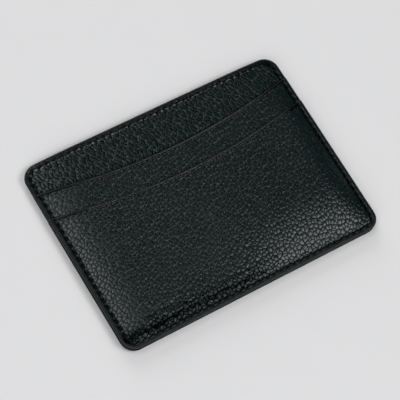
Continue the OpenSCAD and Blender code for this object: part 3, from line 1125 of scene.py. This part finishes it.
def mouth_edge(half, mouth):
    deselect_all()
    half_angle = math.asin((HALF_W - ROD_END_IN) / MOUTH_R)
    centre_y = MOUTH_LOW[mouth] + MOUTH_R
    ring_r = MOUTH_R + MOUTH_BEAD / 2
    start = (-ring_r * math.sin(half_angle) * MM, (centre_y - ring_r * math.cos(half_angle)) * MM, 0)
    bpy.ops.mesh.primitive_circle_add(vertices=12, radius=MOUTH_BEAD / 2 * MM, location=start,
                                      rotation=(0, math.pi / 2, -half_angle))
    rod = bpy.context.object
    rod.name = f"{half}_{mouth}_mouth_paint"
    bpy.ops.object.transform_apply(location=True, rotation=True, scale=True)
    bpy.ops.object.mode_set(mode="EDIT")
    bpy.ops.mesh.select_all(action="SELECT")
    bpy.ops.mesh.spin(steps=ROD_STEPS, angle=-2 * half_angle, center=(0, centre_y * MM, 0), axis=(0, 0, 1))
    bpy.ops.mesh.select_all(action="DESELECT")
    bpy.ops.mesh.select_non_manifold()
    bpy.ops.mesh.fill_holes(sides=0)
    bpy.ops.mesh.select_all(action="SELECT")
    bpy.ops.mesh.normals_make_consistent(inside=False)
    bpy.ops.object.mode_set(mode="OBJECT")
    co = vertices_of(rod)
    x, y = co[:, 0] / MM, co[:, 1] / MM
    inner_level, outer_pair = HALVES[half]["levels"][mouth]
    low, high = (surface_height(level, x, y, half) for level in (inner_level, outer_pair))
    share = 0.5 + (0.5 + ROD_PROUD) * powered(co[:, 2] / (MOUTH_BEAD / 2 * MM), 0.8)
    z = MID_Z + HALVES[half]["side"] * (low + (high - low) * share)
    put_vertices(rod, np.column_stack([co[:, 0], co[:, 1], z * MM]))
    # An even share of painted shade over the whole rod dims its colour and its sheen.
    store(rod, "painted_shade", ROD_SHADE + 0 * x)
    if half == "back":
        rod.data.flip_normals()
    return finish_piece(rod, PAINT, [f"{half}_{mouth}_mouth_edge"], smooth=60.0)


for half in HALVES:
    for mouth in MOUTH_LOW:
        rod = mouth_edge(half, mouth)
        print(rod.name, "is", round(rod.dimensions.x / MM, 2), "mm long")

# %% [markdown]
# ## Stitches
# One stitch is a short twist of thread that dives into a needle hole at each end. It starts as a
# six-sided rod, cut into rings. Every other corner is pulled in, which gives three plies, and each
# ring is turned a little more than the last. It is modelled once, and then a copy is laid at every
# place along the seam, tilted to the leather under it. The seam on the floor of a slot is hidden, so
# it is the same stitch at half the size, lying on the cloth.

# %% One stitch, and the rows
THREAD_R = 0.29
RINGS = 9
PLY_HOLLOW = 0.74
END_TAPER = 0.62
END_DIVE = 0.3
TWIST = 80.0
STITCH_SINK = 0.16


def thread_stitch():
    deselect_all()
    bpy.ops.mesh.primitive_cylinder_add(vertices=6, radius=THREAD_R * MM, depth=STITCH_LEN * MM,
                                        rotation=(0, math.pi / 2, 0))
    stitch = bpy.context.object
    bpy.ops.object.transform_apply(location=True, rotation=True, scale=True)
    co = vertices_of(stitch)
    ends = np.array([e.vertices[:] for e in stitch.data.edges])
    select_edges(stitch, np.abs(co[ends[:, 0], 0] - co[ends[:, 1], 0]) > MM)
    bpy.ops.object.mode_set(mode="EDIT")
    bpy.ops.mesh.subdivide(number_cuts=RINGS - 2)
    bpy.ops.mesh.select_mode(type="VERT")
    bpy.ops.object.mode_set(mode="OBJECT")
    co = vertices_of(stitch) / MM
    t = co[:, 0] / (STITCH_LEN / 2)
    angle = np.arctan2(co[:, 2], co[:, 1])
    corner = np.rint(angle / (math.pi / 3)).astype(int)
    taper = np.sqrt(np.maximum(1.0 - END_TAPER * t**4, 0.0))
    radius = THREAD_R * np.where(corner % 2 == 0, 1.0, PLY_HOLLOW) * taper
    turned = angle + t * math.radians(TWIST)
    dive = -END_DIVE * t**4
    placed = np.column_stack([co[:, 0], radius * np.cos(turned), radius * np.sin(turned) + dive])
    put_vertices(stitch, placed * MM)
    return stitch


def stitch_row(name, master, half, places, node, level_of,
               slant=STITCH_SLANT, size=1.0, sink=STITCH_SINK):
    """Lays a copy of the stitch at each place, and joins them."""
    side = HALVES[half]["side"]
    copies = []
    for x, y, heading in places:
        step = STITCH_LEN / 2
        ends = [(x + k * step * math.cos(heading), y + k * step * math.sin(heading)) for k in (-1, 1)]
        z0, z1 = (float(surface_height(level_of(ex, ey), ex, ey, half)) for ex, ey in ends)
        z = MID_Z + side * ((z0 + z1) / 2 - sink)
        tilt = math.atan2(side * (z1 - z0), STITCH_LEN)
        turn = heading + side * math.radians(slant)
        upright = Matrix.Identity(4) if side > 0 else Matrix.Rotation(math.pi, 4, "X")
        matrix = (Matrix.Translation((x * MM, y * MM, z * MM)) @ Matrix.Rotation(turn, 4, "Z")
                  @ Matrix.Rotation(-tilt, 4, "Y") @ upright @ Matrix.Scale(size, 4))
        copy = master.copy()
        copy.data = master.data.copy()
        copy.data.transform(matrix)
        bpy.context.collection.objects.link(copy)
        copies.append(copy)
    deselect_all()
    for copy in copies:
        copy.select_set(True)
    bpy.context.view_layer.objects.active = copies[0]
    bpy.ops.object.join()
    row = bpy.context.object
    row.name = name
    return finish_piece(row, THREAD, [node], smooth=70.0)


master = thread_stitch()
for half, seam_node in (("front", "perimeter_needle_thread"), ("back", "perimeter_bobbin_thread")):
    levels = HALVES[half]["levels"]

    def outermost(x, y):
        return tuple(float(v) for v in outer_level(levels, x, y))

    stitch_row(f"{half}_perimeter_stitches", master, half, SEAM_PLACES, seam_node, outermost)
    stitch_row(f"{half}_top_stitches", master, half, TOP_PLACES, f"{half}_top_thread", outermost)
    stitch_row(f"{half}_slot_floor_stitches", master, half, FLOOR_PLACES, f"{half}_slot_floor_seam",
               lambda x, y: levels["upper"][0], slant=0.0, size=0.5, sink=-CLOTH_T)
bpy.data.objects.remove(master)

# %% [markdown]
# ## Floor and light
# The holder lies on a plain pale floor. Black leather shows its form only by what it mirrors, so
# each light is placed for the slope that mirrors it into the lens. The left border mirrors the left
# box, and the long slope at the lower right mirrors the right box. The edge of the wide dim ceiling
# lies just where the flat of the face looks, so one side of every pebble picks it up and the other
# does not. The window and the back box mostly light the floor.

# %% Stage
FLOOR_GREY = 0.78
FLOOR_SIZE = 6.0
BOX_DISTANCE = 1.0
SOFT_BOXES = [
    # name, compass angle, angle from overhead, size in metres, watts
    ("right_box", 314, 33, 0.5, 4.2),
    ("ceiling", 102, 17, 1.0, 0.42),
    ("left_box", 134, 26, 0.42, 1.7),
    ("window", 218, 52, 0.9, 4.8),
    ("back_box", 80, 68, 0.7, 5.0),
]
ROOM_COLOUR = (0.97, 0.98, 1.0, 1)
ROOM_STRENGTH = 0.03


def floor_material():
    material, tree, shader, place = new_material("floor")
    mottle = add_node(tree, "ShaderNodeTexNoise", Vector=place, Scale=60.0, Detail=4.0)
    colour = mix_colours(tree, mottle.outputs[0], (FLOOR_GREY - 0.01, FLOOR_GREY - 0.01, FLOOR_GREY, 1),
                         (FLOOR_GREY + 0.01, FLOOR_GREY + 0.01, FLOOR_GREY + 0.02, 1))
    tree.links.new(colour, shader.inputs["Base Color"])
    set_on(shader, Roughness=0.9, Specular_IOR_Level=0.1)
    return material


deselect_all()
bpy.ops.mesh.primitive_plane_add(size=FLOOR_SIZE)
floor = bpy.context.object
floor.name = "floor"
floor.data.materials.append(floor_material())


def soft_box(name, compass, lean, size, watts):
    """A square light that faces the holder, at two angles in degrees."""
    deselect_all()
    compass, lean = math.radians(compass), math.radians(lean)
    direction = (math.sin(lean) * math.cos(compass), math.sin(lean) * math.sin(compass), math.cos(lean))
    towards = Vector(direction).normalized()
    bpy.ops.object.light_add(type="AREA", location=towards * BOX_DISTANCE)
    light = bpy.context.object
    light.name = name
    light.data.shape = "SQUARE"
    light.data.size = size
    light.data.energy = watts
    light.rotation_mode = "QUATERNION"
    light.rotation_quaternion = towards.to_track_quat("Z", "Y")


for box in SOFT_BOXES:
    soft_box(*box)
world = bpy.data.worlds.new("room")
world.use_nodes = True
set_on(world.node_tree.nodes["Background"], Color=ROOM_COLOUR, Strength=ROOM_STRENGTH)
bpy.context.scene.world = world
bpy.context.scene.view_settings.view_transform = "Standard"
